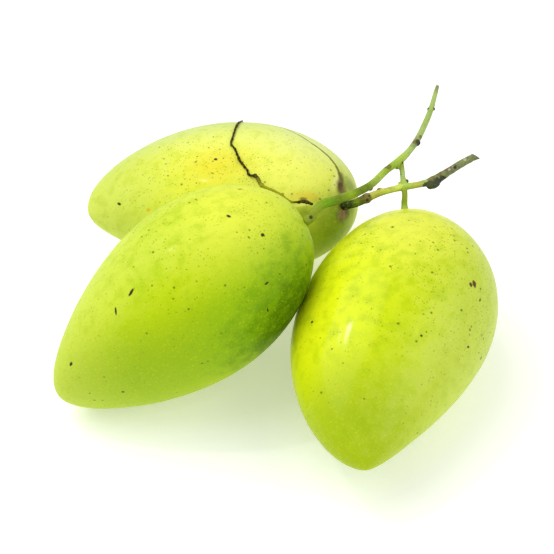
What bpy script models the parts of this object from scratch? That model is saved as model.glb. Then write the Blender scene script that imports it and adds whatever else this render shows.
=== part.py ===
"""Three green mangoes on one branched fruit stalk, lying as picked.

Metres, +Z up. The surface that the bunch lies on is z = 0, and the origin is under the
bunch's middle. Every size below is written in millimetres and multiplied by MM.
"""
import math
from dataclasses import dataclass

import bmesh
import bpy
from mathutils import Matrix, Vector

MM = 0.001

# Fruit mesh
FRUIT_RINGS = 32
FRUIT_SEGMENTS = 40
RING_CROWDING = 0.25        # above 0, the rings lie closer together at the stem end
FLAT_SPOT_DEPTH = 0.5       # how much of the lowest skin is pressed flat, mm
CAVITY_DEPTH = 1.0          # the shallow dip in the skin around the stem, mm
CAVITY_RADIUS = 6.0

# Stalk mesh
GAP = 0.35                  # between a stalk's end and the skin, mm
SHOOT_GAP = 0.5             # between the dry shoot and the skin that it lies on, mm
SEAT_LENGTH = 2.5           # how far a stalk leaves a fruit straight, mm
STALK_STEPS = 3             # rings from one route point to the next
STALK_BEVEL = 3
SHOOT_STEPS = 2
SHOOT_BEVEL = 2
BUMP_SEGMENTS = 8
BUMP_RINGS = 6
SHARP_EDGE = 50             # the cut's rim is shaded sharp above this angle, degrees
WELD = 0.01 * MM
CUT_SNAP = 0.0001 * MM


@dataclass
class Mango:
    """One fruit: its size, the few numbers that bend its outline, and how it lies."""
    middle: tuple           # x and y of its middle, mm
    turn: tuple             # yaw, pitch and roll in degrees; pitch lifts the stem end
    size: tuple             # length, width and thickness, mm
    stem_wide: float        # how much wider the stem half is than the tip half
    stem_deep: float        # the same for the thickness
    blunt: float            # above 0 fills the ends out, below 0 makes them slimmer
    s_bend: float           # these three shift the middle line across the width, as shares of it
    tip_shift: float
    stem_shift: float
    stem_at: tuple          # where the stalk meets the skin, as (s, phi) in degrees
    colour: tuple


MANGOES = {
    "fruit_left": Mango((-42.6, -28.6), (28.2, 13.0, 102.3), (126.0, 77.2, 67.5),
                        -0.014, 0.329, -0.074, -0.004, -0.256, 0.115, (5, 40), (0.52, 0.74, 0.045, 1)),
    "fruit_right": Mango((47.1, -35.8), (75.5, 3.2, 183.8), (136.2, 76.7, 64.0),
                         0.233, 0.438, -0.072, 0.066, 0.032, -0.025, (24, -118), (0.58, 0.78, 0.035, 1)),
    "fruit_back": Mango((-28.0, 64.7), (7.0, -1.2, 161.3), (129.0, 86.0, 65.1),
                        0.269, 0.187, -0.040, 0.046, 0.163, 0.172, (34, -17), (0.76, 0.78, 0.07, 1)),
}

# The stalks: x, y, z and diameter in mm, from the fruit outwards
LEFT_STALK = [
    (15.5, -2.6, 77.8, 3.7), (18.1, 0.2, 78.6, 4.0), (22.8, 4.6, 76.8, 4.0), (28.7, 10.6, 74.3, 3.7),
    (34.7, 16.7, 72.0, 3.5), (40.9, 24.1, 70.0, 3.3), (48.9, 37.1, 67.8, 3.2), (55.9, 46.5, 66.2, 3.7),
    (61.0, 54.7, 65.5, 3.0), (65.0, 62.0, 66.0, 3.0), (68.8, 70.7, 67.3, 2.9), (72.8, 81.1, 69.3, 2.7),
    (75.0, 88.5, 71.3, 2.2), (76.9, 94.5, 73.5, 1.3),
]
RIGHT_STALK = [
    (57.0, 29.2, 60.5, 2.5), (56.8, 32.4, 61.8, 3.0), (56.6, 38.4, 63.3, 2.4), (56.3, 43.5, 65.0, 2.4),
    (55.9, 46.5, 66.2, 2.7),
]
BACK_STALK = [
    (35.4, 30.8, 53.6, 4.2), (38.3, 31.5, 54.8, 4.1), (40.3, 31.9, 55.6, 4.8), (42.2, 32.3, 56.4, 3.6),
    (45.3, 32.6, 57.8, 3.3), (51.0, 32.3, 60.2, 2.9), (56.8, 32.4, 61.8, 3.2), (62.6, 32.6, 62.8, 2.8),
    (66.6, 32.8, 63.8, 3.2), (69.7, 33.0, 64.7, 4.6), (72.9, 34.2, 66.1, 4.0), (77.4, 36.1, 68.2, 3.5),
    (83.4, 39.3, 70.3, 3.3), (91.6, 42.5, 73.0, 3.2),
]
ALL_STALK_POINTS = LEFT_STALK + RIGHT_STALK + BACK_STALK
# A stalk's thickness just off the fruit and where it meets the fruit, mm
LEFT_SEAT = (3.8, 4.0)
RIGHT_SEAT = (2.8, 3.4)
BACK_SEAT = (4.2, 4.8)
# The woody end is cut across at a slant: a point of the cut and the way it faces
SLANT_CUT = ((88.6, 42.4, 71.9), (0.51, 0.60, 0.62))
CUTTER_SIDE = 12.0

# Bract scars, buds and the lumps of the knot: x, y, z, length along the stalk and thickness, mm
BUMPS = [
    (40.7, 22.6, 69.0, 3.0, 2.0), (54.3, 42.4, 65.4, 3.0, 2.4), (64.9, 60.0, 65.5, 3.8, 2.8),
    (71.7, 81.1, 69.5, 2.0, 1.5), (74.1, 81.3, 69.3, 2.0, 1.5), (58.2, 35.4, 62.6, 2.4, 1.8),
    (55.0, 34.2, 62.1, 2.2, 1.8), (46.0, 33.6, 59.2, 3.0, 1.9), (40.8, 31.0, 54.7, 2.2, 2.2),
    (39.6, 32.8, 56.2, 2.4, 2.0), (69.4, 31.3, 64.0, 5.2, 3.6),
]

# The dry shoot: free points from beside the stalk (x, y, z, diameter in mm), then places on
# the back fruit's skin (s and phi in degrees, diameter in mm)
SHOOT_START = [
    (14.2, -0.2, 79.4, 1.3), (10.8, 4.4, 77.0, 1.9), (7.9, 7.0, 74.5, 1.1), (4.9, 9.7, 72.5, 1.1),
    (1.0, 14.6, 72.0, 1.1), (-2.4, 18.5, 71.2, 1.1), (-7.3, 23.2, 70.2, 1.2), (-10.1, 30.1, 69.7, 1.5),
]
SHOOT_ON_SKIN = [
    (81.0, -42.2, 1.2), (82.0, -47.0, 1.1), (84.0, -52.5, 1.5), (85.0, -60.2, 1.2), (86.5, -68.5, 1.2),
    (84.5, -80.5, 1.1), (82.8, -91.5, 1.3), (79.5, -108.0, 0.9),
]

STALK_COLOUR = (0.30, 0.43, 0.09, 1)
SHOOT_COLOUR = (0.09, 0.065, 0.035, 1)
SKIN_ROUGHNESS = 0.45
STALK_ROUGHNESS = 0.55
SHOOT_ROUGHNESS = 0.7


def clear_scene():
    for obj in list(bpy.data.objects):
        bpy.data.objects.remove(obj, do_unlink=True)


def new_collection(name):
    collection = bpy.data.collections.new(name)
    bpy.context.scene.collection.children.link(collection)
    return collection


def new_material(name, colour, roughness):
    material = bpy.data.materials.new(name)
    material.use_nodes = True
    shader = material.node_tree.nodes["Principled BSDF"]
    shader.inputs["Base Color"].default_value = colour
    shader.inputs["Roughness"].default_value = roughness
    shader.inputs["Metallic"].default_value = 0.0
    return material


def new_object(name, mesh, collection, material=None):
    obj = bpy.data.objects.new(name, mesh)
    collection.objects.link(obj)
    if material:
        mesh.materials.clear()
        mesh.materials.append(material)
    return obj


def turn_matrix(mango):
    """Takes the fruit's own axes (x across its width, z from tip to stem) to the world's."""
    yaw, pitch, roll = (math.radians(angle) for angle in mango.turn)
    lay_down = Matrix(((0, 0, 1), (1, 0, 0), (0, 1, 0)))
    return (Matrix.Rotation(yaw, 3, "Z") @ Matrix.Rotation(-pitch, 3, "Y") @ lay_down
            @ Matrix.Rotation(roll, 3, "Z"))


def plain_skin(mango, s, phi):
    """The skin without its cavity, in the fruit's own axes: s is 0 at the stem and pi at the tip."""
    length, width, thickness = mango.size
    along = math.cos(s)
    ring = math.sin(s)
    fullness = mango.blunt * (2 * along * along - 1)
    half_width = width / 2 * ring * (1 + mango.stem_wide * along + fullness)
    half_thickness = thickness / 2 * ring * (1 + mango.stem_deep * along + fullness)
    shift = (mango.s_bend * 2 * ring * along + mango.tip_shift * (1 - along) ** 2 / 4
             + mango.stem_shift * (1 + along) ** 2 / 4)
    return Vector((width * shift + half_width * math.cos(phi), half_thickness * math.sin(phi),
                   length / 2 * along))


def skin_normal(mango, s, phi):
    """The skin's outward direction in the fruit's own axes."""
    step = 0.01
    if s < step:
        return Vector((0, 0, 1))
    down = plain_skin(mango, s + step, phi) - plain_skin(mango, s - step, phi)
    across = plain_skin(mango, s, phi + step) - plain_skin(mango, s, phi - step)
    return down.cross(across).normalized()


def stem_point(mango):
    s, phi = (math.radians(angle) for angle in mango.stem_at)
    return plain_skin(mango, s, phi), skin_normal(mango, s, phi)


def skin(mango, s, phi):
    """The skin with the shallow cavity round the stem."""
    point = plain_skin(mango, s, phi)
    stem, outward = stem_point(mango)
    dip = CAVITY_DEPTH * math.exp(-((point - stem).length / CAVITY_RADIUS) ** 2)
    return point - outward * dip


def lift_of(mango):
    """How far the fruit's middle stands above the floor once its lowest skin is pressed flat."""
    turn = turn_matrix(mango)
    steps = 180
    lowest = min((turn @ plain_skin(mango, math.pi * i / steps, 2 * math.pi * j / steps)).z
                 for i in range(steps + 1) for j in range(steps))
    return -lowest - FLAT_SPOT_DEPTH


def place_matrix(mango):
    """The fruit's own axes in millimetres to the world in metres."""
    place = Vector((*mango.middle, lift_of(mango)))
    return Matrix.Scale(MM, 4) @ Matrix.Translation(place) @ turn_matrix(mango).to_4x4()


def build_mango(name, mango, collection):
    """A sphere whose rings are moved onto the fruit's skin, cut flat where it rests."""
    mesh = bpy.data.meshes.new(name)
    bm = bmesh.new()
    bmesh.ops.create_uvsphere(bm, u_segments=FRUIT_SEGMENTS, v_segments=FRUIT_RINGS, radius=1)
    place = place_matrix(mango)
    for vertex in bm.verts:
        angle = math.acos(max(-1.0, min(1.0, vertex.co.z)))
        s = angle - RING_CROWDING * math.sin(angle)
        phi = math.atan2(vertex.co.y, vertex.co.x)
        vertex.co = place @ skin(mango, s, phi)
    everything = bm.verts[:] + bm.edges[:] + bm.faces[:]
    cut = bmesh.ops.bisect_plane(bm, geom=everything, dist=CUT_SNAP, plane_co=(0, 0, 0),
                                 plane_no=(0, 0, -1), clear_outer=True)
    rim = [item for item in cut["geom_cut"] if isinstance(item, bmesh.types.BMEdge)]
    bmesh.ops.edgenet_fill(bm, edges=rim)
    bmesh.ops.recalc_face_normals(bm, faces=bm.faces)
    bm.to_mesh(mesh)
    bm.free()
    mesh.shade_smooth()
    return new_object(name, mesh, collection, new_material(name, mango.colour, SKIN_ROUGHNESS))


def tube(name, route, bevel, steps, collection):
    """A closed tube on a smooth curve through the route's points, each with its own diameter."""
    curve = bpy.data.curves.new(name, "CURVE")
    curve.dimensions = "3D"
    curve.resolution_u = steps
    curve.bevel_depth = MM
    curve.bevel_resolution = bevel
    curve.use_fill_caps = True
    spline = curve.splines.new("BEZIER")
    spline.bezier_points.add(len(route) - 1)
    for point, (x, y, z, diameter) in zip(spline.bezier_points, route):
        point.co = Vector((x, y, z)) * MM
        point.radius = diameter / 2
        point.handle_left_type = "AUTO"
        point.handle_right_type = "AUTO"
    guide = new_object(name + "_curve", curve, collection)
    bpy.context.view_layer.update()
    evaluated = guide.evaluated_get(bpy.context.evaluated_depsgraph_get())
    mesh = bpy.data.meshes.new_from_object(evaluated)
    bpy.data.objects.remove(guide, do_unlink=True)
    weld(mesh)
    return new_object(name, mesh, collection)


def weld(mesh):
    """Closes the seams of caps and joints, and turns the faces outwards."""
    bm = bmesh.new()
    bm.from_mesh(mesh)
    bmesh.ops.remove_doubles(bm, verts=bm.verts, dist=WELD)
    bmesh.ops.dissolve_degenerate(bm, edges=bm.edges, dist=WELD)
    bmesh.ops.recalc_face_normals(bm, faces=bm.faces)
    bm.to_mesh(mesh)
    bm.free()


def seat(name, thickness):
    """The first two points of a stalk: just off the named fruit's skin, then straight out."""
    mango = MANGOES[name]
    off_skin, at_skin = thickness
    stem, outward = stem_point(mango)
    place = place_matrix(mango)
    points = []
    for distance, size in ((GAP - CAVITY_DEPTH, at_skin), (SEAT_LENGTH, off_skin)):
        spot = place @ (stem + outward * distance) / MM
        points.append((*spot, size))
    return points


def bump(index, x, y, z, length, thickness, collection):
    """A small swelling, longer along the stalk than across it."""
    mesh = bpy.data.meshes.new(f"bump_{index}")
    bm = bmesh.new()
    nearest = min(range(1, len(ALL_STALK_POINTS)),
                  key=lambda i: (Vector(ALL_STALK_POINTS[i][:3]) - Vector((x, y, z))).length)
    along = Vector(ALL_STALK_POINTS[nearest][:3]) - Vector(ALL_STALK_POINTS[nearest - 1][:3])
    turn = along.to_track_quat("Z", "Y").to_matrix().to_4x4()
    shape = Matrix.Diagonal((thickness / 2, thickness / 2, length / 2, 1))
    place = Matrix.Scale(MM, 4) @ Matrix.Translation((x, y, z)) @ turn @ shape
    bmesh.ops.create_uvsphere(bm, u_segments=BUMP_SEGMENTS, v_segments=BUMP_RINGS, radius=1,
                              matrix=place)
    bm.to_mesh(mesh)
    bm.free()
    return new_object(mesh.name, mesh, collection)


def slant_cutter(collection):
    """A block that takes the woody end off at a slant."""
    centre, facing = (Vector(values) for values in SLANT_CUT)
    mesh = bpy.data.meshes.new("slant_cutter")
    bm = bmesh.new()
    turn = facing.to_track_quat("Z", "Y").to_matrix().to_4x4()
    place = (Matrix.Scale(MM, 4) @ Matrix.Translation(centre) @ turn
             @ Matrix.Translation((0, 0, CUTTER_SIDE / 2)))
    bmesh.ops.create_cube(bm, size=CUTTER_SIDE, matrix=place)
    bm.to_mesh(mesh)
    bm.free()
    cutter = new_object("slant_cutter", mesh, collection)
    cutter.hide_render = True
    cutter.display_type = "WIRE"
    return cutter


def apply_modifiers(obj):
    bpy.context.view_layer.update()
    evaluated = obj.evaluated_get(bpy.context.evaluated_depsgraph_get())
    mesh = bpy.data.meshes.new_from_object(evaluated)
    obj.modifiers.clear()
    obj.data = mesh


def build_stalk(collection, cutters):
    """The three stalks and their bumps joined in one body, with its woody end cut."""
    pieces = new_collection("stalk_pieces")
    left = seat("fruit_left", LEFT_SEAT) + LEFT_STALK
    right = seat("fruit_right", RIGHT_SEAT) + RIGHT_STALK
    back = seat("fruit_back", BACK_SEAT) + BACK_STALK
    stalk = tube("stalk", left, STALK_BEVEL, STALK_STEPS, collection)
    tube("right_stalk", right, STALK_BEVEL, STALK_STEPS, pieces)
    tube("back_stalk", back, STALK_BEVEL, STALK_STEPS, pieces)
    for index, values in enumerate(BUMPS):
        bump(index, *values, pieces)

    join = stalk.modifiers.new("join", "BOOLEAN")
    join.operation = "UNION"
    join.operand_type = "COLLECTION"
    join.collection = pieces
    join.solver = "EXACT"
    cut = stalk.modifiers.new("cut", "BOOLEAN")
    cut.operation = "DIFFERENCE"
    cut.object = slant_cutter(cutters)
    cut.solver = "EXACT"
    apply_modifiers(stalk)
    for piece in list(pieces.objects):
        bpy.data.objects.remove(piece, do_unlink=True)
    bpy.data.collections.remove(pieces)

    weld(stalk.data)
    stalk.data.materials.clear()
    stalk.data.materials.append(new_material("stalk", STALK_COLOUR, STALK_ROUGHNESS))
    stalk.data.shade_smooth()
    stalk.data.set_sharp_from_angle(angle=math.radians(SHARP_EDGE))
    return stalk


def midpoints_added(points):
    """The same list with the average of each two neighbours between them."""
    longer = [points[0]]
    for before, after in zip(points, points[1:]):
        longer.append(tuple((a + b) / 2 for a, b in zip(before, after)))
        longer.append(after)
    return longer


def build_shoot(collection):
    """The thin dried shoot, from beside the stalk and over the back fruit's skin."""
    mango = MANGOES["fruit_back"]
    place = place_matrix(mango)
    route = list(SHOOT_START)
    for s, phi, diameter in midpoints_added(SHOOT_ON_SKIN):
        angles = math.radians(s), math.radians(phi)
        height = diameter / 2 + SHOOT_GAP
        spot = place @ (plain_skin(mango, *angles) + skin_normal(mango, *angles) * height) / MM
        route.append((*spot, diameter))
    shoot = tube("dry_shoot", route, SHOOT_BEVEL, SHOOT_STEPS, collection)
    shoot.data.materials.clear()
    shoot.data.materials.append(new_material("dry_shoot", SHOOT_COLOUR, SHOOT_ROUGHNESS))
    shoot.data.shade_smooth()
    return shoot


def main():
    clear_scene()
    bunch = new_collection("mango_bunch")
    cutters = new_collection("cutters")
    for name, mango in MANGOES.items():
        build_mango(name, mango, bunch)
    build_stalk(bunch, cutters)
    build_shoot(bunch)


main()
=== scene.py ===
"""The look of the mango bunch: fine skins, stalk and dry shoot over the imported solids.

Metres, +Z up, in the frame of the CAD. Sizes are written in millimetres and multiplied by MM.
"""
import math
from dataclasses import dataclass, field

import bmesh
import bpy
import numpy as np
from mathutils import Matrix, Vector, kdtree, noise


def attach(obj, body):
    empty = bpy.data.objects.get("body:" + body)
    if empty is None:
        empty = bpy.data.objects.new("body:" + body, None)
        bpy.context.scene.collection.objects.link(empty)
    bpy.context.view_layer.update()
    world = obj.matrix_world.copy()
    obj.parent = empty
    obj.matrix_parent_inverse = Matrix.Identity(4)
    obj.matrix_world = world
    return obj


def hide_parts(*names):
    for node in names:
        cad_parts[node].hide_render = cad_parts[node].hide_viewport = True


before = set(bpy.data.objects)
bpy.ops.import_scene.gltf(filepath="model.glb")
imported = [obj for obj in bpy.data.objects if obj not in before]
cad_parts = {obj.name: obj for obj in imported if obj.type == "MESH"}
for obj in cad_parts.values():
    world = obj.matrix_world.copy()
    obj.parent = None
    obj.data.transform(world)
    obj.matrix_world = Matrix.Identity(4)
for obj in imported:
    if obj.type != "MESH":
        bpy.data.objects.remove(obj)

MM = 0.001

# The camera of the photograph
IMAGE_SIZE = 554
FOCAL_PIXELS = 1198.0
CAMERA_ELEVATION = 44.0
CAMERA_DISTANCE = 590.0
CAMERA_TARGET = (-0.7, 38.2, -0.5)
SENSOR_WIDTH = 36.0

# Fruit skins
FRUIT_RINGS = 150
FRUIT_SEGMENTS = 200
RING_CROWDING = 0.25        # draws the sphere's rings towards the stem
FLAT_SPOT_DEPTH = 0.5
CAVITY_DEPTH = 1.0
CAVITY_RADIUS = 6.0
CAVITY_FOLDS = 6
FOLD_DEPTH = 0.16
FOLD_FROM_STEM = 4.5
FOLD_BREADTH = 3.0
SKIN_WAVES = 0.14           # the soft unevenness of a grown skin, mm
SKIN_WAVE_LENGTH = 14.0
SCAR_OVERLAP = 1.35         # how much longer each mark of a scar is than its stretch
SCAR_STRENGTH = 0.85
SCAR_SOFTNESS = 0.4
LEAST_MARK_DEPTH = 1.5      # how deep the smallest marks reach into the skin, mm
PATCH_LENGTH = 24.0         # of the broad change between a skin's two colours, mm
MOTTLE_LENGTH = 5.0
SPECK_PATCH_LENGTH = 14.0
MOTTLE_SHARE = 0.25
GRAIN_SHARE = 0.27
SPECKS_ELSEWHERE = 0.14     # how crowded the specks are outside a fruit's speck zone
UNEVEN_EDGE = 0.9
SKIN_ROUGHNESS = 0.42
SKIN_SPECULAR = 0.06
COAT_ROUGHNESS = 0.12
BUMP_STRENGTH = 0.5
BUMP_DEPTH = 0.15           # mm

# Stalks
STALK_GAP = 0.1             # between the end of a stalk and the bottom of its cavity, mm
SEAT_ROUND = 0.8            # how far above that bottom the foot is thickest, mm
SEAT_SWELLING = 1.04
SEAT_LENGTH = 2.5
STALK_VOXEL = 0.24
STALK_SIDES = 24
ROUTE_STEPS = 24
RIBS = 9
CUT_REACH = 9.0             # how far from its centre the slanted cut takes hold, mm
CUT_RIM = 0.7               # the dark rim beside the cut, mm
CUT_RIM_STRENGTH = 0.8
SHARP_EDGE = 50             # degrees
# Painted shade on the stalks: how much darker their undersides, and the grooves between their ribs, are
# painted
PAINTED_UNDERSIDE_SHADE = 0.4
PAINTED_GROOVE_SHADE = 0.08
# The back stalk turns woody between these x; the left stalk, beyond this y, stays green
WOOD_STARTS, WOOD_FULL = 67.0, 73.0
LEFT_STALK_FROM = 45.0
# The bark's relief in mm: ribs along it, lumps and grain
GREEN_RIBS, GREEN_LUMPS = 0.035, 0.05
WOOD_RIBS, WOOD_LUMPS, WOOD_GRAIN = 0.05, 0.13, 0.07
SPOT_LUMPS, SPOT_GRAIN = 0.10, 0.07

# Dry shoot
SHOOT_VOXEL = 0.16
SHOOT_SIDES = 16
SHOOT_STEPS = 16
SHOOT_GAP = 0.12
SHOOT_RIBS, SHOOT_LUMPS, SHOOT_GRAIN = 0.05, 0.13, 0.08
FIRST_KNOB, KNOB_SPACING = 12, 17       # in samples of the route
KNOB_OFFSET = 0.2                       # off the route, as a share of the diameter
# The share of the solid's thickness along the shoot; bark and knobs fill the rest
SHOOT_SHARES = ((0.0, 0.85), (0.1, 0.85), (0.16, 1.25), (0.3, 1.25), (0.37, 0.74), (1.0, 0.74))

# Studio
FLOOR_HALF = 4              # metres
FLOOR_WHITE = 0.92
FLOOR_GLOW = 0.25
SKY_STRENGTH = 0.60
LAMP_TARGET_HEIGHT = 0.04   # metres


def srgb(red, green, blue):
    """A colour given as 0 to 255 in each channel, as linear red, green, blue and alpha."""
    linear = []
    for value in (red, green, blue):
        share = value / 255
        linear.append(share / 12.92 if share <= 0.04045 else ((share + 0.055) / 1.055) ** 2.4)
    return (*linear, 1.0)


@dataclass
class Mark:
    """A spot on a skin: where it is, its size in mm and its turn from the way to the stem."""
    s: float
    phi: float
    length: float
    width: float
    tilt: float = 0.0
    colour: tuple = srgb(62, 48, 22)
    strength: float = 1.0
    softness: float = 0.35


@dataclass
class Band:
    """The skin on one side of a plane, near a point of it: the way it faces and its reach, mm."""
    point: tuple
    facing: tuple
    colour: tuple
    strength: float
    softness: float
    reach: float


@dataclass
class Dots:
    """Small round dots: their grid and radius in mm, how many cells have one, and how they show."""
    spacing: float
    radius: float
    chance: float
    seed: float
    share: float
    colour: tuple


@dataclass
class Lamp:
    """An elliptical light: its way from the bunch, distance, width and height in metres, and watts."""
    direction: tuple
    distance: float
    size: tuple
    power: float


@dataclass
class Mango:
    """One fruit: its size, the few numbers that bend its outline, how it lies and its skin."""
    middle: tuple
    turn: tuple
    size: tuple
    stem_wide: float
    stem_deep: float
    blunt: float
    s_bend: float
    tip_shift: float
    stem_shift: float
    stem_at: tuple
    colour: tuple
    second_colour: tuple
    coat: float
    speck_zone: Mark
    zones: list = field(default_factory=list)
    bands: list = field(default_factory=list)
    scar: list = field(default_factory=list)
    marks: list = field(default_factory=list)


# Yellow skin for the fruits' tops, paler and bluer than the skin as painted sheen where the light falls
YELLOW_WITH_PAINTED_SHEEN = srgb(240, 243, 86)
# Deep green skin, darkened as painted shade for the left fruit's side beside the right fruit
GREEN_AND_PAINTED_SHADE = srgb(128, 184, 0)
MOTTLE_GREEN = srgb(136, 176, 10)
GRAIN_PALE = srgb(236, 246, 44)
BROWN = srgb(96, 70, 34)
ORANGE_BROWN = srgb(224, 190, 40)
LATEX_BROWN = srgb(116, 88, 62)
SCAR_BROWN = srgb(106, 104, 40)
CREAM = srgb(248, 242, 176)

PALE_DOTS = Dots(1.5, 0.26, 0.7, 3.0, 0.18, GRAIN_PALE)
GREEN_DOTS = Dots(1.2, 0.27, 0.55, 7.0, 0.36, MOTTLE_GREEN)
FINE_SPECKS = Dots(1.25, 0.3, 1.0, 11.0, 0.55, srgb(124, 132, 18))
COARSE_SPECKS = Dots(2.9, 0.5, 0.55, 29.0, 0.75, srgb(84, 82, 16))
BARK_SPECKS = Dots(1.1, 0.16, 0.5, 5.0, 0.5, srgb(98, 96, 44))

LAMPS = {
    "key": Lamp((-0.49, 0.12, 0.85), 1.3, (1.4, 1.4), 8.9),
    "window": Lamp((-0.465, 0.05, 0.882), 1.0, (0.08, 0.042), 0.72),
    "window_low": Lamp((-0.58, 0.09, 0.81), 1.0, (0.04, 0.03), 0.08),
    "fill": Lamp((0.75, -0.25, 0.6), 1.4, (1.2, 1.2), 4.3),
}

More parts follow.
